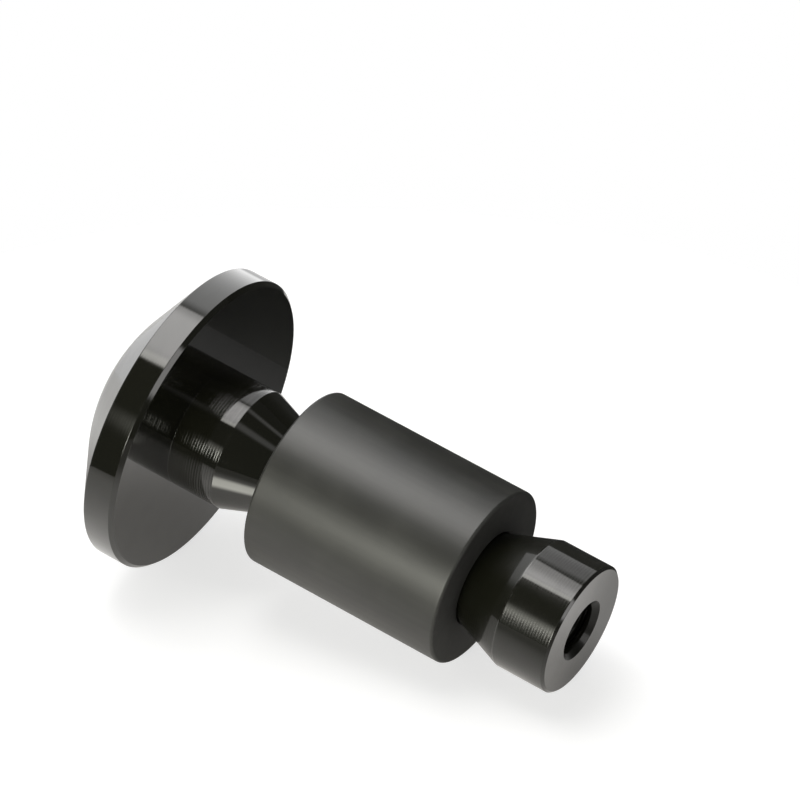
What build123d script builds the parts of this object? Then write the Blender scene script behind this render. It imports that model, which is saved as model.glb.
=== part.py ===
from build123d import *
import os
from math import cos, radians, tan

# Bar end weight for a tubular handlebar, turned about the X axis.
# X points inboard, into the bar, and X = 0 is the back face of the cap, which meets the end of the bar.
# The screw draws the cone nut towards the cap, and the two cones spread the rubber sleeve against the bar.

# End cap
head_diameter = 30.0
rim_thickness = 3.2
rim_chamfer = 0.4
dome_height = 6.4  # crown above the front edge of the rim, before it is bored
dome_flank_angle = 32.5  # degrees, slope of the straight flank inside the rim
boss_diameter = 12.2
boss_length = 5.0
boss_root_radius = 0.3
cap_tip_wall = 0.5  # metal left round the screw hole at the tip of the cone
screw_web = 4.8  # metal between the screw head's seat and the back face
counterbore_chamfer = 0.3

# Cones of the cap and the nut
cone_half_angle = 20.0  # degrees

# Rubber sleeve
sleeve_diameter = 17.7
sleeve_bore = 9.4
sleeve_length = 21.0
sleeve_edge_chamfer = 0.25

# Cone nut
nut_diameter = 13.0
nut_land = 5.5  # length of the straight part
nut_chamfer = 0.25
nut_tip_wall = 1.0  # metal left round the thread at the tip of the cone
thread_mouth_diameter = 6.1  # countersunk mouth of the tapped hole
thread_mouth_angle = 90.0  # degrees, full angle of the countersink

# Clamp screw, M6 x 45 with a button head
thread_diameter = 5.3  # mean diameter of the thread
screw_length = 45.0
screw_point_chamfer = 0.6
screw_head_diameter = 10.5
screw_head_height = 3.3
screw_head_edge = 0.5  # straight edge of the head above its seat
screw_head_flat = 5.2  # diameter of the flat round the socket
screw_head_bulge = 0.45  # how far the head's round stands out from a straight flank
screw_neck_radius = 0.25
socket_across_flats = 4.0
socket_depth = 2.1
socket_point_angle = 60.0  # degrees, half angle of the drill point below the socket

# Clearances, on the radius
screw_hole_clearance = 0.65
screw_head_clearance = 0.5
thread_clearance = 0.05
cap_seat_clearance = 0.6  # slack of the sleeve on the cap's cone, with the screw not yet tight
nut_seat_clearance = 0.05  # slack of the sleeve on the nut's cone
edge_break = 0.15  # sharp edges of the turned metal

# Radii and places along the axis
head_r = head_diameter / 2
boss_r = boss_diameter / 2
bore_r = sleeve_bore / 2
nut_r = nut_diameter / 2
thread_r = thread_diameter / 2
screw_hole_r = thread_r + screw_hole_clearance
counterbore_r = screw_head_diameter / 2 + screw_head_clearance
tapped_r = thread_r + thread_clearance
cap_tip_r = screw_hole_r + cap_tip_wall
nut_tip_r = tapped_r + nut_tip_wall
cone_slope = tan(radians(cone_half_angle))

crown_x = -rim_thickness - dome_height
screw_seat_x = -screw_web
cap_tip_x = boss_length + (boss_r - cap_tip_r) / cone_slope
sleeve_x = boss_length + (boss_r - bore_r + cap_seat_clearance) / cone_slope
sleeve_end_x = sleeve_x + sleeve_length
nut_shoulder_x = sleeve_end_x + (nut_r - bore_r + nut_seat_clearance) / cone_slope
nut_tip_x = nut_shoulder_x - (nut_r - nut_tip_r) / cone_slope
nut_end_x = nut_shoulder_x + nut_land
screw_top_x = screw_seat_x - screw_head_height
screw_point_x = screw_seat_x + screw_length
socket_floor_x = screw_top_x + socket_depth
socket_point_depth = socket_across_flats / 2 / tan(radians(socket_point_angle))

# The crown is round and runs tangent into the flank, which would meet the axis at flank_peak_x.
flank = radians(dome_flank_angle)
flank_peak_x = -rim_thickness - head_r * tan(flank)
crown_r = (crown_x - flank_peak_x) * cos(flank) / (1 - cos(flank))


def circle_at(part, x, order, tolerance=0.001):
    circles = part.edges().filter_by(GeomType.CIRCLE)
    at_x = circles.filter_by(lambda edge: abs(edge.arc_center.X - x) < tolerance)
    return at_x.sort_by(SortBy.RADIUS)[order]


os.makedirs("parts", exist_ok=True)

# End cap: dome, rim, boss and cone in one turning, counterbored for the screw head
with BuildPart() as end_cap:
    with BuildSketch(Plane.XY):
        with BuildLine():
            crown = CenterArc((crown_x + crown_r, 0), crown_r, 180 - dome_flank_angle, dome_flank_angle)
            Polyline(
                crown @ 0,
                (-rim_thickness, head_r),
                (-rim_chamfer, head_r),
                (0, head_r - rim_chamfer),
                (0, boss_r),
                (boss_length, boss_r),
                (cap_tip_x, cap_tip_r),
                (cap_tip_x, 0),
                crown @ 1,
            )
        make_face()
    revolve(axis=Axis.X)
    fillet(circle_at(end_cap, 0, 0), boss_root_radius)
    chamfer(circle_at(end_cap, -rim_thickness, -1), edge_break)
    with Locations(Plane((crown_x, 0, 0), x_dir=(0, 1, 0), z_dir=(-1, 0, 0))):
        CounterBoreHole(screw_hole_r, counterbore_r, screw_seat_x - crown_x)
    mouth = end_cap.edges().filter_by(GeomType.CIRCLE).sort_by(Axis.X)[0]
    chamfer(mouth, counterbore_chamfer)
end_cap.part.label = "end_cap"
export_step(end_cap.part, "parts/end_cap.step")

# Rubber sleeve: a plain tube with its outer edges broken
with BuildPart() as rubber_sleeve:
    with BuildSketch(Plane.XY):
        with BuildLine():
            Polyline(
                (sleeve_x, bore_r),
                (sleeve_x, sleeve_diameter / 2),
                (sleeve_end_x, sleeve_diameter / 2),
                (sleeve_end_x, bore_r),
                close=True,
            )
        make_face()
        chamfer(vertices().group_by(Axis.Y)[-1], sleeve_edge_chamfer)
    revolve(axis=Axis.X)
rubber_sleeve.part.label = "rubber_sleeve"
export_step(rubber_sleeve.part, "parts/rubber_sleeve.step")

# Cone nut: a cone and a straight land, tapped right through
with BuildPart() as cone_nut:
    with BuildSketch(Plane.XY):
        with BuildLine():
            Polyline(
                (nut_tip_x, 0),
                (nut_tip_x, nut_tip_r),
                (nut_shoulder_x, nut_r),
                (nut_end_x - nut_chamfer, nut_r),
                (nut_end_x, nut_r - nut_chamfer),
                (nut_end_x, 0),
                close=True,
            )
        make_face()
    revolve(axis=Axis.X)
    with Locations(Plane((nut_end_x, 0, 0), x_dir=(0, 1, 0), z_dir=(1, 0, 0))):
        CounterSinkHole(tapped_r, thread_mouth_diameter / 2, counter_sink_angle=thread_mouth_angle)
    chamfer(circle_at(cone_nut, nut_tip_x, 0), edge_break)
cone_nut.part.label = "cone_nut"
export_step(cone_nut.part, "parts/cone_nut.step")

# Clamp screw: button head with a hexagon socket, shank at the thread's mean diameter
with BuildPart() as clamp_screw:
    with BuildSketch(Plane.XY):
        with BuildLine():
            head_round = SagittaArc(
                (screw_top_x, screw_head_flat / 2),
                (screw_seat_x - screw_head_edge, screw_head_diameter / 2),
                screw_head_bulge,
            )
            Polyline(
                head_round @ 1,
                (screw_seat_x, screw_head_diameter / 2),
                (screw_seat_x, thread_r),
                (screw_point_x - screw_point_chamfer, thread_r),
                (screw_point_x, thread_r - screw_point_chamfer),
                (screw_point_x, 0),
                (screw_top_x, 0),
                head_round @ 0,
            )
        make_face()
    revolve(axis=Axis.X)
    fillet(circle_at(clamp_screw, screw_seat_x, 0), screw_neck_radius)
    with BuildSketch(Plane((screw_top_x, 0, 0), x_dir=(0, 1, 0), z_dir=(-1, 0, 0))):
        RegularPolygon(socket_across_flats / 2, 6, major_radius=False)
    extrude(amount=-socket_depth, mode=Mode.SUBTRACT)
    with BuildSketch(Plane.XY):
        with BuildLine():
            Polyline(
                (socket_floor_x, 0),
                (socket_floor_x, socket_across_flats / 2),
                (socket_floor_x + socket_point_depth, 0),
                close=True,
            )
        make_face()
    revolve(axis=Axis.X, mode=Mode.SUBTRACT)
clamp_screw.part.label = "clamp_screw"
export_step(clamp_screw.part, "parts/clamp_screw.step")
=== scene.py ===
import bpy
import math
import numpy as np
from mathutils import Matrix, Vector


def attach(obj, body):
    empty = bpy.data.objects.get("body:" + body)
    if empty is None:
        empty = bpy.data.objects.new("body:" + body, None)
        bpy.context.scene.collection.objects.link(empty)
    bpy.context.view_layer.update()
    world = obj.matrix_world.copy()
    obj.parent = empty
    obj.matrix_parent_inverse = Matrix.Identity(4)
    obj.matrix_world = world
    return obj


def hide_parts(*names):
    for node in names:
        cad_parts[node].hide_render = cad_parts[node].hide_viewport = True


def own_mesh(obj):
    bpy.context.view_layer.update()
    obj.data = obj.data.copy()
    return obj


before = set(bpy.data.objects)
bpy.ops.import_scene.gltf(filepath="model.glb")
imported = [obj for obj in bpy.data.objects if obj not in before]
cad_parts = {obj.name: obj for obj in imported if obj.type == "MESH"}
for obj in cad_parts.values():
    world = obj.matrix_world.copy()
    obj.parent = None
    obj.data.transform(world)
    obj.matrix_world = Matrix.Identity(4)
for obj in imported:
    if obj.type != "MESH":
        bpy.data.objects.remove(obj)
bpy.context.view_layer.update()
print("frame: nodes", sorted(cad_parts))

mm = 0.001  # every outline below is in millimetres, X along the turning axis
sharpAngle = 35.0  # degrees
white, black = (1.0, 1.0, 1.0, 1.0), (0.0, 0.0, 0.0, 1.0)


# wraps a socket, so that shader maths reads as ordinary sums
class Wire:
    def __init__(self, tree, socket=None):
        self.tree = tree
        self.socket = socket

    def node(self, kind, settings=None, inputs=None, output=0):
        made = self.tree.nodes.new(kind)
        for key, value in (settings or {}).items():
            setattr(made, key, value)
        for key, value in (inputs or {}).items():
            if isinstance(value, Wire):
                self.tree.links.new(value.socket, made.inputs[key])
            else:
                made.inputs[key].default_value = value
        return Wire(self.tree, made.outputs[output]) if len(made.outputs) else made

    def calc(self, operation, *values):
        return self.node("ShaderNodeMath", {"operation": operation}, dict(enumerate(values)))

    def __add__(self, other):
        return self.calc("ADD", self, other)

    def __radd__(self, other):
        return self.calc("ADD", other, self)

    def __sub__(self, other):
        return self.calc("SUBTRACT", self, other)

    def __rsub__(self, other):
        return self.calc("SUBTRACT", other, self)

    def __mul__(self, other):
        return self.calc("MULTIPLY", self, other)

    def __rmul__(self, other):
        return self.calc("MULTIPLY", other, self)

    def __truediv__(self, other):
        return self.calc("DIVIDE", self, other)

    # 0 below low, 1 above high, eased between them
    def eased(self, low, high):
        settings = {"interpolation_type": "SMOOTHSTEP"}
        return self.node("ShaderNodeMapRange", settings, {0: self, 1: low, 2: high, 3: 0.0, 4: 1.0})

    # this wire's value picks between two colours
    def blend(self, first, second):
        return self.node("ShaderNodeMix", {"data_type": "RGBA"}, {0: self, 6: first, 7: second}, output=2)

    # how far this wire's place or way runs along an axis
    def along(self, axis):
        settings = {"operation": "DOT_PRODUCT"}
        return self.node("ShaderNodeVectorMath", settings, {0: self, 1: tuple(axis)}, "Value")

    # this wire's value as a relief that only the light feels
    def bump(self, distance, strength=1.0):
        return self.node("ShaderNodeBump", {}, {"Strength": strength, "Distance": distance, "Height": self})

    def ray(self, kind):
        return self.node("ShaderNodeLightPath", output=kind)

    # 1 for what the camera sees, straight or through something clear
    def seen(self):
        return self.calc("MAXIMUM", self.ray("Is Camera Ray"), self.ray("Is Transmission Ray"))

    def attribute(self, name):
        return self.node("ShaderNodeAttribute", {"attribute_name": name}, output="Fac")

    def speckle(self, place, scale, detail):
        inputs = {"Vector": place, "Scale": scale, "Detail": detail}
        return self.node("ShaderNodeTexNoise", {}, inputs, output="Fac")

    def stretched(self, place, factors):
        return self.node("ShaderNodeVectorMath", {"operation": "MULTIPLY"}, {0: place, 1: factors})


def newMaterial(name):
    material = bpy.data.materials.new(name)
    material.use_nodes = True
    material.node_tree.nodes.clear()
    return material, Wire(material.node_tree)


def finished(material, wire, inputs):
    shader = wire.node("ShaderNodeBsdfPrincipled", {}, inputs)
    wire.node("ShaderNodeOutputMaterial", {}, {"Surface": shader})
    return material


# black dye under a clear glassy skin on turned aluminium, with tool rings below the skin and a little dye
# worn off the edges. spots, clouds, streaks, mottle and grain are the scale and detail of a noise
anodisedLook = {
    "dye": (0.0064, 0.0066, 0.0037, 1.0),
    "wornDye": (0.03, 0.029, 0.026, 1.0),
    "wear": 0.5,
    "wornSpots": (2600.0, 3.0),
    "wornRange": (0.4, 0.75),
    "gloss": 0.06,
    "wornRough": 0.12,  # added roughness where the dye is worn
    "haze": 0.22,  # where the tool left a hazy face
    "bareHaze": 0.35,  # and where the skin is missing
    "smudges": 0.05,
    "smudgeSpots": (420.0, 3.0),
    "smudgeRange": (0.42, 0.7),
    "metalIor": 1.3,
    "skinIor": 1.5,
    "skinGloss": 0.045,
    "feed": 0.28,  # mm between tool rings
    "feedNoise": (4.0, 3.0),
    "feedWander": 4.0,  # radians
    "evenRings": 0.5,
    "unevenRings": 0.6,
    "ringHeight": 0.00001,  # metres
}


def blackAnodised(look):
    material, wire = newMaterial("black_anodised")
    run = wire.attribute("toolRun")
    depth = wire.attribute("toolDepth")
    bare = wire.attribute("bare")
    place = wire.node("ShaderNodeTexCoord", output="Object")
    patches = wire.speckle(place, *look["smudgeSpots"]).eased(*look["smudgeRange"])
    spots = wire.speckle(place, *look["wornSpots"]).eased(*look["wornRange"])
    worn = wire.attribute("edge") * spots * look["wear"]
    scale, detail = look["feedNoise"]
    noise = {"W": run, "Scale": scale, "Detail": detail}
    wander = wire.node("ShaderNodeTexNoise", {"noise_dimensions": "1D"}, noise)
    steady = run * (2 * math.pi / look["feed"])
    wave = wire.calc("SINE", steady + wander * look["feedWander"])
    rings = wave * look["evenRings"] + wander * look["unevenRings"]
    hazy = depth * wire.attribute("haze") * look["haze"]
    rough = patches * look["smudges"] + worn * look["wornRough"] + bare * look["bareHaze"] + hazy
    return finished(material, wire, {
        "Base Color": worn.blend(look["dye"], look["wornDye"]),
        "Roughness": rough + look["gloss"],
        "IOR": look["metalIor"],
        "Normal": (rings * depth).bump(look["ringHeight"]),
        "Coat Weight": (1.0 - patches * look["smudges"]) * (1.0 - bare),
        "Coat Roughness": look["skinGloss"],
        "Coat IOR": look["skinIor"],
    })


# moulded rubber, satin from handling, with faint streaks along the tube
rubberLook = {
    "grey": (0.0165, 0.0167, 0.0138, 1.0),
    "dusty": (0.026, 0.0262, 0.0222, 1.0),
    "dustRange": (0.38, 0.66),
    "clouds": (260.0, 4.0),
    "streaks": (1500.0, 3.0),
    "streakStretch": (0.06, 1.0, 1.0),
    "streakShare": 0.4,
    "grain": (6000.0, 2.0),
    "grainHeight": 0.000012,  # metres
    "grainStrength": 0.5,
    "satin": 0.385,
    "satinChange": 0.08,
    "cut": 0.35,  # added roughness of the cut ends
    "ior": 1.64,
}


def sleeveRubber(look):
    material, wire = newMaterial("sleeve_rubber")
    place = wire.node("ShaderNodeTexCoord", output="Object")
    cloud = wire.speckle(place, *look["clouds"])
    streak = wire.speckle(wire.stretched(place, look["streakStretch"]), *look["streaks"])
    grain = wire.speckle(place, *look["grain"])
    share = look["streakShare"]
    dust = (cloud * (1 - share) + streak * share).eased(*look["dustRange"])
    height = grain * (1 - share) + streak * share
    change = (grain + cloud) / 2 * look["satinChange"]
    return finished(material, wire, {
        "Base Color": dust.blend(look["grey"], look["dusty"]),
        "Roughness": change + wire.attribute("toolDepth") * look["cut"] + look["satin"],
        "IOR": look["ior"],
        "Normal": height.bump(look["grainHeight"], look["grainStrength"]),
    })


# bright zinc plate on the screw
zincLook = {
    "bright": (0.64, 0.62, 0.58, 1.0),
    "dull": (0.44, 0.43, 0.41, 1.0),
    "mottle": (900.0, 4.0),
    "mottleRange": (0.35, 0.7),
    "mottleRough": 0.14,
    "grain": (9000.0, 2.0),
    "grainRough": 0.06,
    "grainHeight": 0.000004,  # metres
    "grainStrength": 0.4,
    "polish": 0.24,
}


def zincSteel(look):
    material, wire = newMaterial("zinc_steel")
    place = wire.node("ShaderNodeTexCoord", output="Object")
    mottle = wire.speckle(place, *look["mottle"]).eased(*look["mottleRange"])
    grain = wire.speckle(place, *look["grain"])
    return finished(material, wire, {
        "Base Color": mottle.blend(look["bright"], look["dull"]),
        "Metallic": 1.0,
        "Roughness": mottle * look["mottleRough"] + grain * look["grainRough"] + look["polish"],
        "Normal": grain.bump(look["grainHeight"], look["grainStrength"]),
    })


finishes = {
    "black_anodised": blackAnodised(anodisedLook),
    "sleeve_rubber": sleeveRubber(rubberLook),
    "zinc_steel": zincSteel(zincLook),
}
print("finishes:", sorted(finishes))


# one ring of a turned mesh: its place, its facing along, out from and round the axis, and its tool marks,
# edge wear and missing skin
def ring(x, r, along=0.0, out=0.0, tangent=0.0, marks=0.0, edge=0.0, bare=0.0):
    facing = {"along": along, "out": out, "tangent": tangent}
    return {"x": x, "r": r, "marks": marks, "edge": edge, "bare": bare} | facing


# rings along an outline of (x, r, corner radius, depth of the tool marks that follow), with the metal on its
# right. a long face gets a ring of its own a margin away from each corner
def turnedRings(outline, steps=4, margin=0.1, closed=True):
    rings = []
    count = len(outline)
    longFace = 4 * margin
    for i, (x, r, corner, marks) in enumerate(outline):
        if not closed and i in (0, count - 1):
            continue
        here = np.array((x, r))
        came = here - np.array(outline[i - 1][:2])
        goes = np.array(outline[(i + 1) % count][:2]) - here
        cameLong, goesLong = np.linalg.norm(came), np.linalg.norm(goes)
        came, goes = came / cameLong, goes / goesLong
        faceIn, faceOut = np.array((-came[1], came[0])), np.array((-goes[1], goes[0]))
        if not corner:  # a point of a smooth curve
            face = (faceIn + faceOut) / np.linalg.norm(faceIn + faceOut)
            rings.append(ring(x, r, face[0], face[1], marks=marks))
            continue
        turn = math.atan2(came[0] * goes[1] - came[1] * goes[0], came @ goes)
        reach = corner * math.tan(abs(turn) / 2)
        bend = math.copysign(corner, turn)
        marksIn = outline[i - 1][3]
        start, end = here - came * reach, here + goes * reach
        if cameLong > longFace + reach:
            spot = start - came * margin
            rings.append(ring(spot[0], spot[1], faceIn[0], faceIn[1], marks=marksIn))
        for k in range(steps + 1):
            a = turn * k / steps
            face = np.array((faceIn[0] * math.cos(a) - faceIn[1] * math.sin(a),
                             faceIn[0] * math.sin(a) + faceIn[1] * math.cos(a)))
            spot = start + (faceIn - face) * bend
            blendedMarks = marksIn + (marks - marksIn) * k / steps
            rings.append(ring(spot[0], spot[1], face[0], face[1], marks=blendedMarks, edge=1.0))
        if goesLong > longFace + reach:
            spot = end + goes * margin
            rings.append(ring(spot[0], spot[1], faceOut[0], faceOut[1], marks=marks))
    return rings


# rings of a threaded wall whose radius is given by place along the axis and angle; side is 1 outside and -1
# in a bore
def threadedRings(radius, xs, columns, side, bare=0.0):
    angle = np.arange(columns) * (2 * math.pi / columns)
    small = 0.004  # step for the slopes
    rings = []
    for x in xs:
        r = radius(x, angle)
        rise = (radius(x + small, angle) - radius(x - small, angle)) / (2 * small)
        swing = (radius(x, angle + small) - radius(x, angle - small)) / (2 * small) / r
        long = np.sqrt(1 + rise ** 2 + swing ** 2) * side
        rings.append(ring(x, r, -rise / long, 1 / long, -swing / long, bare=bare))
    return rings


# joins rings into a mesh: end to start for a piece with a bore, or to a point on the axis at both ends
def latheMesh(name, rings, columns, haze=0.0, tips=None):
    def grid(key):
        return np.stack([np.broadcast_to(np.asarray(row[key], float), columns) for row in rings])

    angle = np.arange(columns) * (2 * math.pi / columns)
    cos, sin = np.cos(angle), np.sin(angle)
    x, r = grid("x"), grid("r")
    along, out, tangent = grid("along"), grid("out"), grid("tangent")
    places = np.stack([x, r * cos, r * sin], -1).reshape(-1, 3)
    facing = np.stack([along, out * cos - tangent * sin, out * sin + tangent * cos], -1).reshape(-1, 3)
    steps = np.hypot(np.diff(x[:, 0]), np.diff(r[:, 0]))
    run = np.repeat(np.concatenate([[0.0], np.cumsum(steps)]), columns)
    marks, edge, bare = grid("marks").ravel(), grid("edge").ravel(), grid("bare").ravel()
    count = len(rings)
    i, j = np.meshgrid(np.arange(count if tips is None else count - 1), np.arange(columns), indexing="ij")
    i2, j2 = (i + 1) % count, (j + 1) % columns
    corners = [i * columns + j, i * columns + j2, i2 * columns + j2, i2 * columns + j]
    faces = np.stack(corners, -1).reshape(-1, 4).tolist()
    if tips is not None:
        first, last = len(places), len(places) + 1
        places = np.vstack([places, [(tips[0], 0, 0), (tips[1], 0, 0)]])
        facing = np.vstack([facing, np.zeros((2, 3))])
        run = np.append(run, (0.0, run[-1]))
        marks, edge, bare = (np.append(values, (0, 0)) for values in (marks, edge, bare))
        base = (count - 1) * columns
        for k in range(columns):
            k2 = (k + 1) % columns
            faces.append((first, k2, k))
            faces.append((base + k, base + k2, last))
    mesh = bpy.data.meshes.new(name)
    mesh.from_pydata((places * mm).tolist(), [], faces)
    hazy = np.full(len(places), haze)
    for key, values in {"toolRun": run, "toolDepth": marks, "edge": edge, "bare": bare, "haze": hazy}.items():
        mesh.attributes.new(key, "FLOAT", "POINT").data.foreach_set("value", values.astype(np.float32))
    mesh.shade_smooth()
    mesh.set_sharp_from_angle(angle=math.radians(sharpAngle))
    mesh.normals_split_custom_set_from_vertices(facing.tolist())
    return mesh


def addPiece(name, mesh, body, node, finish):
    mesh.materials.append(finishes[finish])
    piece = bpy.data.objects.new(name, mesh)
    bpy.context.scene.collection.objects.link(piece)
    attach(piece, body)
    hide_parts(node)
    print("piece:", name, len(mesh.polygons), "faces")
    return piece


coneSlope = math.tan(math.radians(20.0))
headRadius = 15.0
sleeveRadius = 8.85

# end cap: dome, rim, flat back, boss and cone, counterbored in front for the screw
capSizes = {
    "columns": 288,
    "crownSteps": 24,
    "rimThickness": 3.2,
    "rimChamfer": 0.4,
    "crownRadius": 17.003,
    "crownX": -9.6,
    "flankAngle": 32.5,
    "mouthRadius": 6.05,
    "counterboreRadius": 5.75,
    "seatX": -4.8,
    "holeRadius": 3.3,
    "bossRadius": 6.1,
    "bossLength": 5.0,
    "coarseLength": 1.2,  # at the end of the boss, where the tool left deep rings
    "tipRadius": 3.8,
    "rounds": {
        "hole": 0.1, "seat": 0.12, "mouth": 0.06, "rim": 0.14, "chamfer": 0.07, "root": 0.012, "boss": 0.1,
        "tip": 0.1, "tipHole": 0.08,
    },
    "marks": {
        "seat": 0.2, "counterbore": 0.3, "mouth": 0.1, "crown": 0.08, "rim": 0.12, "chamfer": 0.1,
        "back": 0.1, "boss": 0.15, "coarse": 2.2, "cone": 0.15, "tip": 0.2, "hole": 0.3,
    },
}


def capOutline(s):
    rounds, marks = s["rounds"], s["marks"]
    centreX = s["crownX"] + s["crownRadius"]
    mouthAngle = math.asin(s["mouthRadius"] / s["crownRadius"])
    mouthX = centreX - s["crownRadius"] * math.cos(mouthAngle)
    wallX = mouthX + s["mouthRadius"] - s["counterboreRadius"]
    tipX = s["bossLength"] + (s["bossRadius"] - s["tipRadius"]) / coneSlope
    outline = [
        (s["seatX"], s["holeRadius"], rounds["hole"], marks["seat"]),
        (s["seatX"], s["counterboreRadius"], rounds["seat"], marks["counterbore"]),
        (wallX, s["counterboreRadius"], rounds["mouth"], marks["mouth"]),
        (mouthX, s["mouthRadius"], rounds["mouth"], marks["crown"]),
    ]
    for k in range(1, s["crownSteps"] + 1):
        a = mouthAngle + (math.radians(s["flankAngle"]) - mouthAngle) * k / s["crownSteps"]
        x, r = centreX - s["crownRadius"] * math.cos(a), s["crownRadius"] * math.sin(a)
        outline.append((x, r, 0, marks["crown"]))
    outline += [
        (-s["rimThickness"], headRadius, rounds["rim"], marks["rim"]),
        (-s["rimChamfer"], headRadius, rounds["chamfer"], marks["chamfer"]),
        (0.0, headRadius - s["rimChamfer"], rounds["chamfer"], marks["back"]),
        (0.0, s["bossRadius"], rounds["root"], marks["boss"]),
        (s["bossLength"] - s["coarseLength"], s["bossRadius"], 0, marks["coarse"]),
        (s["bossLength"], s["bossRadius"], rounds["boss"], marks["cone"]),
        (tipX, s["tipRadius"], rounds["tip"], marks["tip"]),
        (tipX, s["holeRadius"], rounds["tipHole"], marks["hole"]),
    ]
    return outline


capMesh = latheMesh("turned_cap", turnedRings(capOutline(capSizes)), capSizes["columns"])
addPiece("turned_cap", capMesh, "cap", "end_cap", "black_anodised")

# rubber sleeve: a thick tube, its cut ends a little rounded
sleeveSizes = {
    "columns": 240,
    "roundSteps": 6,
    "start": 10.495,
    "end": 31.495,
    "boreRadius": 4.7,
    "outerRound": 0.3,
    "boreRound": 0.15,
    "cutMarks": 1.0,
    "slideIn": 1.57,  # how far the cap end travels when the screw is tight
    "slideOut": 2.92,  # and the nut end
}


def sleeveOutline(s):
    return [
        (s["start"], s["boreRadius"], s["boreRound"], s["cutMarks"]),
        (s["start"], sleeveRadius, s["outerRound"], 0.0),
        (s["end"], sleeveRadius, s["outerRound"], s["cutMarks"]),
        (s["end"], s["boreRadius"], s["boreRound"], 0.0),
    ]


sleeveRings = turnedRings(sleeveOutline(sleeveSizes), sleeveSizes["roundSteps"])
sleeveMesh = latheMesh("gripping_sleeve", sleeveRings, sleeveSizes["columns"])
sleeve = addPiece("gripping_sleeve", sleeveMesh, "cap", "rubber_sleeve", "sleeve_rubber")
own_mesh(sleeve)

# M6 thread, the same helix on the screw and in the nut, so that they stay in mesh as the screw turns
threadSizes = {
    "pitch": 1.0,
    "depth": 0.52,
    "groove": 0.22,  # share of the pitch
    "flank": 0.62,  # and that of both flanks
    "screwRoot": 2.4,
    "nutCrest": 2.5,
    "ringsPerTurn": 14,
}


# 0 in the groove and 1 on the ridge of the screw
def threadRidge(x, angle):
    turns = x / threadSizes["pitch"] - angle / (2 * math.pi)
    fromGroove = np.abs((turns % 1.0) * 2 - 1) - threadSizes["groove"]
    share = np.clip(fromGroove / threadSizes["flank"], 0, 1)
    return share * share * (3 - 2 * share)


def threadSpan(start, end):
    count = max(2, round(abs(end - start) * threadSizes["ringsPerTurn"] / threadSizes["pitch"]))
    return np.linspace(start, end, count + 1)


# cone nut: cone, straight land and broken edge, tapped right through with a countersunk mouth
nutSizes = {
    "columns": 192,
    "haze": 1.7,
    "tipX": 28.885,
    "tipRadius": 3.7,
    "tipMouth": 3.0,
    "shoulderX": 36.578,
    "landRadius": 6.5,
    "endX": 42.078,
    "endChamfer": 0.25,
    "mouthRadius": 3.05,
    "mouthMargin": 0.02,  # from a mouth to the last ring of the face round it
    "threadStart": 0.4,  # the thread begins this far in and is full depth a millimetre on
    "boreBare": 0.78,  # share of the clear skin missing from the tapped hole
    "coneBare": 0.5,  # and rubbed off the cone by the sleeve
    "rounds": {"tip": 0.1, "shoulder": 0.35, "end": 0.06},
    "marks": {"tip": 0.3, "cone": 0.24, "land": 0.42, "chamfer": 0.1, "end": 0.12, "mouth": 0.35},
}


def nutRings(s):
    rounds, marks = s["rounds"], s["marks"]

    def boreRadius(x, angle):
        cut = min(max(s["endX"] - x - s["threadStart"], 0.0), 1.0)
        thread = threadSizes["nutCrest"] + threadSizes["depth"] * cut * threadRidge(x, angle)
        countersunk = max(s["mouthRadius"] - (s["endX"] - x), s["tipMouth"] - (x - s["tipX"]))
        return np.maximum(thread, countersunk)

    outside = [
        (s["tipX"], s["tipMouth"], 0, marks["tip"]),
        (s["tipX"], s["tipRadius"], rounds["tip"], marks["cone"]),
        (s["shoulderX"], s["landRadius"], rounds["shoulder"], marks["land"]),
        (s["endX"] - s["endChamfer"], s["landRadius"], rounds["end"], marks["chamfer"]),
        (s["endX"], s["landRadius"] - s["endChamfer"], rounds["end"], marks["end"]),
        (s["endX"], s["mouthRadius"], 0, 0.0),
    ]
    turned = turnedRings(outside, closed=False)
    rubbedEnd = s["shoulderX"] - rounds["shoulder"] / 4
    for row in turned:
        row["bare"] = s["coneBare"] if row["x"] < rubbedEnd else 0.0
    tipFace = ring(s["tipX"], s["tipMouth"] + s["mouthMargin"], along=-1.0, marks=marks["tip"])
    endFace = ring(s["endX"], s["mouthRadius"] + s["mouthMargin"], along=1.0, marks=marks["mouth"])
    bore = threadedRings(boreRadius, threadSpan(s["endX"], s["tipX"]), s["columns"], -1, s["boreBare"])
    return [tipFace] + turned + [endFace] + bore


nutMesh = latheMesh("tapped_cone_nut", nutRings(nutSizes), nutSizes["columns"], nutSizes["haze"])
addPiece("tapped_cone_nut", nutMesh, "nut", "cone_nut", "black_anodised")

# clamp screw: button head with a hexagon socket, threaded to the head
screwSizes = {
    "columns": 96,
    "topX": -8.1,
    "seatX": -4.8,
    "pointX": 40.2,
    "headRadius": 5.25,
    "headEdge": 0.5,
    "headBulge": 0.45,
    "headSteps": 14,
    "flatStart": 2.5,
    "flatRadius": 2.6,
    "socketApothem": 2.0,
    "socketDepth": 2.1,
    "socketPoint": 1.155,
    "socketChamfer": 0.12,
    "drillStep": 0.02,  # from the socket's floor down to the first ring of its drilled point
    "neckRadius": 2.9,
    "neckSlope": 2.0,
    "dogRadius": 2.36,  # the plain point, which passes the nut's mouth when the screw is tight
    "dogLength": 2.8,
    "pointRadius": 1.9,
    "pointEdge": 0.1,
    "rounds": {"flat": 0.08, "edge": 0.15, "seat": 0.1},
}


def headRound(s):
    start = np.array((s["topX"], s["flatRadius"]))
    end = np.array((s["seatX"] - s["headEdge"], s["headRadius"]))
    chord = end - start
    outward = np.array((-chord[1], chord[0])) / np.linalg.norm(chord)
    points = []
    for k in range(1, s["headSteps"]):
        t = k / s["headSteps"]
        points.append(start + chord * t + outward * s["headBulge"] * 4 * t * (1 - t))
    return points


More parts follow.
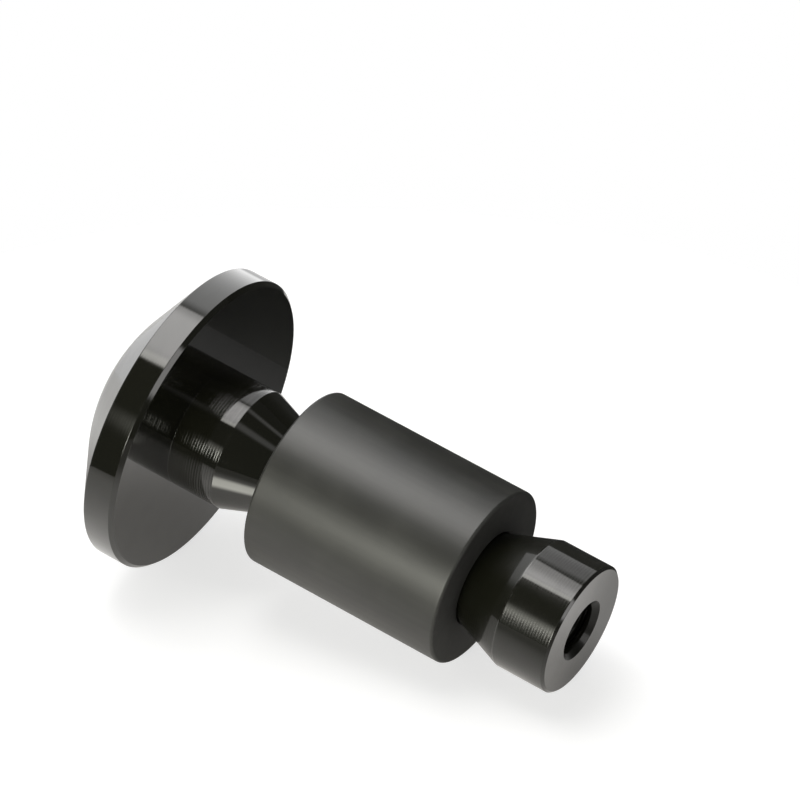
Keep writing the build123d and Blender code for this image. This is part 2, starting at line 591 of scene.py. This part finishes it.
def screwRings(s):
    rounds, apothem, chamfer = s["rounds"], s["socketApothem"], s["socketChamfer"]
    angle = np.arange(s["columns"]) * (2 * math.pi / s["columns"])
    flat = (angle + math.pi / 6) % (math.pi / 3) - math.pi / 6
    hexagon = apothem / np.cos(flat)
    floorX = s["topX"] + s["socketDepth"]
    socket = [
        ring(floorX + s["drillStep"], apothem - 2 * s["drillStep"]),
        ring(floorX, apothem),
        ring(floorX, hexagon),
        ring(s["topX"] + chamfer, hexagon),
        ring(s["topX"], np.maximum(hexagon, apothem + 2 * chamfer)),
    ]
    outline = [(s["topX"], s["flatStart"], 0, 0.0), (s["topX"], s["flatRadius"], rounds["flat"], 0.0)]
    outline += [(point[0], point[1], 0, 0.0) for point in headRound(s)]
    outline += [
        (s["seatX"] - s["headEdge"], s["headRadius"], rounds["edge"], 0.0),
        (s["seatX"], s["headRadius"], rounds["seat"], 0.0),
        (s["seatX"], s["neckRadius"], 0, 0.0),
    ]

    def shankRadius(x, angle):
        thread = threadSizes["screwRoot"] + threadSizes["depth"] * threadRidge(x, angle)
        fromPoint = s["pointX"] - x
        pointed = s["pointRadius"] + s["pointEdge"] + fromPoint
        plain = s["dogRadius"] + max(0.0, fromPoint - s["dogLength"])
        neck = s["neckRadius"] - s["neckSlope"] * (x - s["seatX"])
        return np.maximum(np.minimum(thread, min(pointed, plain)), min(neck, s["neckRadius"]))

    shank = threadedRings(shankRadius, threadSpan(s["seatX"], s["pointX"]), s["columns"], 1)
    pointFace = ring(s["pointX"], s["pointRadius"], along=1.0)
    return socket + turnedRings(outline, closed=False) + shank + [pointFace]


screwTips = (screwSizes["topX"] + screwSizes["socketDepth"] + screwSizes["socketPoint"], screwSizes["pointX"])
screwMesh = latheMesh("button_head_screw", screwRings(screwSizes), screwSizes["columns"], tips=screwTips)
addPiece("button_head_screw", screwMesh, "screw", "clamp_screw", "zinc_steel")

# stage, in metres: the part lies on the rim and on the far edge of the sleeve
stageSizes = {
    "middleX": 0.016,
    "floorRadius": 0.075,
    "floorGrey": 0.45,
    "floorShown": 0.68,
    "cameraPlace": (0.19231, -0.36004, 0.317355),
    "cameraRight": (0.8289, 0.5353, 0.1626),
    "cameraForward": (-0.345, 0.7179, -0.6046),
    "lens": 247.5,
    "sensor": 36.0,
    "clip": (0.01, 10.0),
}
restFront = Vector((-capSizes["rimChamfer"], 0.0, -headRadius)) * mm
restBack = Vector((sleeveSizes["end"] - sleeveSizes["outerRound"], 0.0, -sleeveRadius)) * mm
floorAlong = (restBack - restFront).normalized()
floorUp = floorAlong.cross(Vector((0.0, 1.0, 0.0))).normalized()
cameraPlace = Vector(stageSizes["cameraPlace"])
middle = Vector((stageSizes["middleX"], 0.0, 0.0))
towards = cameraPlace - middle
towards = (towards - floorUp * towards.dot(floorUp)).normalized()  # level, to the camera
rightward = floorUp.cross(towards)
floorCentre = middle - floorUp * (middle - restFront).dot(floorUp)


# a way from the part: degrees to the right of the camera's side, and degrees up
def wayTo(azimuth, elevation):
    a, e = math.radians(azimuth), math.radians(elevation)
    return (towards * math.cos(a) + rightward * math.sin(a)) * math.cos(e) + floorUp * math.sin(e)


def floorMesh(radius, rings=12, columns=96):
    spots, faces = [floorCentre], []
    for i in range(1, rings + 1):
        for j in range(columns):
            a = 2 * math.pi * j / columns
            spots.append(floorCentre + (towards * math.cos(a) + rightward * math.sin(a)) * radius * i / rings)
    for j in range(columns):
        j2 = (j + 1) % columns
        faces.append((0, 1 + j, 1 + j2))
        for i in range(rings - 1):
            inner, outer = 1 + i * columns, 1 + (i + 1) * columns
            faces.append((inner + j, outer + j, outer + j2, inner + j2))
    mesh = bpy.data.meshes.new("floor")
    mesh.from_pydata([tuple(spot) for spot in spots], [], faces)
    return mesh


# how the gloss shows the floor: it glows for glossy rays as a painted reflection of a lit floor, with painted
# shade behind the part, at its foot, under the rim, by the nut and towards the camera. every pair is where a
# zone begins and is full, in metres from the rim's foot: to the camera, to the right or any way
paintedFloorLook = {
    "tint": (1.0, 0.965, 0.92, 1.0),
    "greys": (0.13, 0.27, 0.6, 0.45),  # glow of the painted reflection: painted shade behind the part and at its foot, then close by and further off
    "ahead": (-0.03, 0.008),
    "closeBy": (0.006, 0.02),
    "farOff": (0.02, 0.045),
    # painted shade on the floor towards the camera, as the gloss shows it
    "front": (0.028, 0.048),
    "frontDim": 0.68,
    "nookSide": (0.03, 0.036),  # painted shade by the nut
    "nookFront": (0.0515, 0.056),
    "nookSlant": 0.8,
    "nookDim": 0.42,
    "rimBack": (-0.03, -0.012),  # painted shade under the rim
    "rimFront": (-0.006, 0.002),
    "rimSide": (-0.009, -0.003),
    "rimDim": 0.62,
}


# white to the camera; to the gloss the floor glows as a painted reflection of a lit floor, with painted shade
# near the part
def floorMaterial(s, look):
    material, wire = newMaterial("pale_floor")
    place = wire.node("ShaderNodeTexCoord", output="Object")
    settings = {"operation": "DISTANCE"}
    distance = wire.node("ShaderNodeVectorMath", settings, {0: place, 1: tuple(restFront)}, "Value")
    ahead = place.along(towards) - restFront.dot(towards)
    aside = place.along(rightward) - restFront.dot(rightward)
    front = ahead.eased(*look["front"])
    slant = ahead + aside * look["nookSlant"]
    shadeByNut = aside.eased(*look["nookSide"]) * (1.0 - slant.eased(*look["nookFront"]))
    shadeUnderRim = ahead.eased(*look["rimBack"]) * (1.0 - ahead.eased(*look["rimFront"]))
    shadeUnderRim = shadeUnderRim * (1.0 - aside.eased(*look["rimSide"]))
    # painted shade: darker floor in the gloss towards the camera, by the nut and under the rim
    paintedShade = front * look["frontDim"] + shadeByNut * look["nookDim"] + shadeUnderRim * look["rimDim"]
    shadeBehind, foot, near, far = look["greys"]
    closeBy, farOff = distance.eased(*look["closeBy"]), distance.eased(*look["farOff"])
    level = closeBy * (near - foot) + farOff * (far - near) + foot
    # painted reflection: the floor's glow for glossy rays, darkened by the painted shade
    paintedReflection = (ahead.eased(*look["ahead"]) * (level - shadeBehind) + shadeBehind) * (1.0 - paintedShade)
    glossy = wire.ray("Is Glossy Ray")
    # the floor's paint is darkened for glossy rays by the same painted shade
    grey = s["floorGrey"] - glossy * paintedShade * s["floorGrey"]
    fill = wire.seen() * s["floorShown"] + glossy * paintedReflection
    paint = wire.node("ShaderNodeBsdfDiffuse", {}, {"Color": grey})
    glow = wire.node("ShaderNodeEmission", {}, {"Color": glossy.blend(white, look["tint"]), "Strength": fill})
    both = wire.node("ShaderNodeAddShader", {}, {0: paint, 1: glow})
    clear = wire.node("ShaderNodeBsdfTransparent")
    below = wire.node("ShaderNodeNewGeometry", output="Backfacing")
    shown = wire.node("ShaderNodeMixShader", {}, {0: below, 1: both, 2: clear})
    wire.node("ShaderNodeOutputMaterial", {}, {"Surface": shown})
    return material


floorDisc = floorMesh(stageSizes["floorRadius"])
floorDisc.materials.append(floorMaterial(stageSizes, paintedFloorLook))
floor = bpy.data.objects.new("floor", floorDisc)
bpy.context.scene.collection.objects.link(floor)

# room: white behind the part, dark on the camera's side and to the right. the edges are those of the backdrop
roomLook = {
    "dark": 0.08,
    "low": 0.68,
    "backdrop": 1.8,
    "nearEdge": (0.1, 0.3),
    "rightEdge": (0.2, 0.5),
    "topEdge": (0.83, 0.93),
    "lowEdge": (-0.25, -0.1),
    "leastDepth": 0.05,
}


def studioRoom(look):
    world = bpy.data.worlds.new("studio")
    bpy.context.scene.world = world
    world.use_nodes = True
    world.node_tree.nodes.clear()
    wire = Wire(world.node_tree)
    way = wire.node("ShaderNodeTexCoord", output="Generated")
    depth = way.along(-towards)
    aside = way.along(rightward) / wire.calc("MAXIMUM", depth, look["leastDepth"])
    height = way.along(floorUp)
    behind = depth.eased(*look["nearEdge"]) * (1.0 - aside.eased(*look["rightEdge"]))
    behind = behind * (1.0 - height.eased(*look["topEdge"]))
    lit = height.eased(*look["lowEdge"]) * (look["backdrop"] - look["low"]) + look["low"]
    room = behind * (lit - look["dark"]) + look["dark"]
    seen = wire.seen()
    strength = seen + (1.0 - seen) * room
    shade = wire.node("ShaderNodeBackground", {}, {"Color": white, "Strength": strength})
    wire.node("ShaderNodeOutputWorld", {}, {"Surface": shade})


studioRoom(roomLook)

# lamps: a softbox overhead, brighter on the left and along its front edge, a soft lamp left of the camera
# with a dim sheet behind it, one right of the camera and two weak ones high up. radiance is the brightness of
# the lit face, soft the share of its half width that fades out; over is to the camera, to the right and up
# from the rim's top
lampLook = {
    "softbox": {
        "over": (-0.022, -0.0335, 0.231), "size": (0.175, 0.182),
        "radiance": 2.9, "soft": (0.1, 0.1), "tint": "clean",
    },
    "softboxLeft": {
        "over": (-0.022, -0.046, 0.23), "size": (0.15, 0.182),
        "radiance": 2.3, "soft": (0.5, 0.5), "tint": "clean",
    },
    "softboxFront": {
        "over": (0.054, -0.0335, 0.229), "size": (0.175, 0.038),
        "radiance": 2.4, "soft": (0.1, 0.8), "tint": "warm",
    },
    "leftLamp": {
        "way": (-32.0, 7.5), "away": 0.3, "size": (0.12, 0.135),
        "radiance": 26.0, "soft": (0.6, 0.8), "tint": "warm",
    },
    "leftSheet": {
        "way": (-41.0, 17.5), "away": 0.31, "size": (0.164, 0.14),
        "radiance": 2.0, "soft": (0.3, 1.0), "tint": "warm",
    },
    "rightLamp": {
        "way": (51.0, 13.0), "away": 0.5, "size": (0.25, 0.25),
        "radiance": 2.6, "soft": (0.3, 0.3), "tint": "clean",
    },
    "highRight": {
        "way": (91.0, 61.0), "away": 0.5, "size": (0.1, 0.1),
        "radiance": 0.6, "soft": (0.8, 0.8), "tint": "clean",
    },
    "highFront": {
        "way": (23.0, 57.0), "away": 0.5, "size": (0.14, 0.14),
        "radiance": 0.6, "soft": (0.8, 0.8), "tint": "clean",
    },
}
lampTints = {"clean": (1.0, 0.985, 0.97, 1.0), "warm": (1.0, 0.995, 0.89, 1.0)}


def addLamp(name, place, facing, size, radiance, soft, tint, across=None):
    data = bpy.data.lights.new(name, "AREA")
    data.shape = "RECTANGLE"
    data.size, data.size_y = size
    data.energy = radiance * math.pi * size[0] * size[1]
    across = across or (rightward if facing == floorUp else floorUp.cross(facing))
    up = facing.cross(across).normalized()
    across = up.cross(facing).normalized()
    data.use_nodes = True
    data.node_tree.nodes.clear()
    wire = Wire(data.node_tree)
    spot = wire.node("ShaderNodeNewGeometry", output="Position")
    away = wire.node("ShaderNodeVectorMath", {"operation": "SUBTRACT"}, {0: spot, 1: tuple(place)})
    glow = 1.0
    for axis, width, fade in ((across, size[0], soft[0]), (up, size[1], soft[1])):
        offset = wire.calc("ABSOLUTE", away.along(axis) / (width / 2))
        glow = glow * (1.0 - offset.eased(1.0 - fade, 1.0))
    colour = glow.blend(black, lampTints[tint])
    shade = wire.node("ShaderNodeEmission", {}, {"Color": colour, "Strength": 1.0})
    wire.node("ShaderNodeOutputLight", {}, {"Surface": shade})
    lamp = bpy.data.objects.new(name, data)
    lamp.matrix_world = Matrix.Translation(place) @ Matrix((across, up, facing)).transposed().to_4x4()
    lamp.visible_camera = False
    bpy.context.scene.collection.objects.link(lamp)
    return lamp


rimTop = Vector((-capSizes["rimThickness"] / 2, 0.0, headRadius)) * mm
for lampName, lampSet in lampLook.items():
    if "over" in lampSet:
        front, side, height = lampSet["over"]
        spot, facing = rimTop + towards * front + rightward * side + floorUp * height, floorUp
    else:
        facing = wayTo(*lampSet["way"])
        spot = middle + facing * lampSet["away"]
    addLamp(lampName, spot, facing, lampSet["size"], lampSet["radiance"], lampSet["soft"], lampSet["tint"])

# cards that only the gloss shows: a dark one behind the part, painted shade in the gloss, with a paler foot
# of painted shade on the floor beside the part, and a bright one by the cone
cardLook = {
    "darkEdge": (  # x, y and height
        (0.0, 0.030, 0.046), (0.024, 0.025, 0.044), (0.030, 0.0235, 0.027), (0.041, 0.020, 0.023),
        (0.052, 0.027, 0.018),
    ),
    "lift": 0.0003,  # off the floor
    "footWidth": 0.017,
    "topGrey": 0.055,  # painted shade of the card, which gets paler down to the floor and out to the toe of its foot
    "heelGrey": 0.095,
    "toeGrey": 0.2,
    "brightSpan": (4.4, 9.8),  # mm along the cone
    "brightAngle": 181.5,  # degrees round the axis
    "brightWay": (0.19, -0.75, -0.635),
    "brightGap": 3.0,  # mm
    "brightWidth": 2.8,
    "brightRadiance": 4.4,
    "brightSoft": (0.2, 0.7),
}


def onFloor(x, y, lift):
    spot = Vector((x, y, 0.0))
    return spot + Vector((0.0, 0.0, 1.0)) * ((restFront - spot).dot(floorUp) / floorUp.z) + floorUp * lift


def addCard(name, spots, faces, greys):
    mesh = bpy.data.meshes.new(name)
    mesh.from_pydata([tuple(spot) for spot in spots], [], faces)
    mesh.attributes.new("grey", "FLOAT", "POINT").data.foreach_set("value", greys)
    material, wire = newMaterial(name)
    paint = wire.node("ShaderNodeBsdfDiffuse", {}, {"Color": wire.attribute("grey")})
    wire.node("ShaderNodeOutputMaterial", {}, {"Surface": paint})
    mesh.materials.append(material)
    card = bpy.data.objects.new(name, mesh)
    bpy.context.scene.collection.objects.link(card)
    card.visible_camera = card.visible_diffuse = card.visible_shadow = card.visible_transmission = False


# painted shade in the gloss: the dark card and its paler foot
edge = cardLook["darkEdge"]
strips = [(k, k + 1, len(edge) + k + 1, len(edge) + k) for k in range(len(edge) - 1)]
feet = [onFloor(x, y, cardLook["lift"]) for x, y, height in edge]
tops = [onFloor(x, y, height) for x, y, height in edge]
toes = [onFloor(x, y - cardLook["footWidth"], cardLook["lift"]) for x, y, height in edge]
topGreys, heelGreys, toeGreys = ([cardLook[key]] * len(edge) for key in ("topGrey", "heelGrey", "toeGrey"))
addCard("shade_card", feet + tops, strips, heelGreys + topGreys)
addCard("shade_card_foot", toes + feet, strips[:-1], toeGreys + heelGreys)


def conePlace(x, angle):
    r = capSizes["bossRadius"] - (x - capSizes["bossLength"]) * coneSlope
    return Vector((x, r * math.cos(math.radians(angle)), r * math.sin(math.radians(angle))))


# the bright card hangs close beside the cap's cone
def addBrightCard(look):
    start, end = (conePlace(x, look["brightAngle"]) for x in look["brightSpan"])
    facing = Vector(look["brightWay"]).normalized()
    spot = ((start + end) / 2 + facing * look["brightGap"]) * mm
    size = ((end - start).length * mm, look["brightWidth"] * mm)
    radiance, soft = look["brightRadiance"], look["brightSoft"]
    card = addLamp("brightCard", spot, facing, size, radiance, soft, "warm", end - start)
    card.visible_diffuse = False


addBrightCard(cardLook)
print("stage: floor tilt", round(math.degrees(math.atan2(floorAlong.z, floorAlong.x)), 2))

# camera, as far off as the photograph's
cameraData = bpy.data.cameras.new("camera")
cameraData.sensor_width = stageSizes["sensor"]
cameraData.lens = stageSizes["lens"]
cameraData.clip_start, cameraData.clip_end = stageSizes["clip"]
camera = bpy.data.objects.new("camera", cameraData)
right = Vector(stageSizes["cameraRight"]).normalized()
back = -Vector(stageSizes["cameraForward"]).normalized()
upward = back.cross(right).normalized()
right = upward.cross(back)
camera.matrix_world = Matrix.Translation(cameraPlace) @ Matrix((right, upward, back)).transposed().to_4x4()
bpy.context.scene.collection.objects.link(camera)
bpy.context.scene.camera = camera
bpy.context.scene.view_settings.view_transform = "Standard"
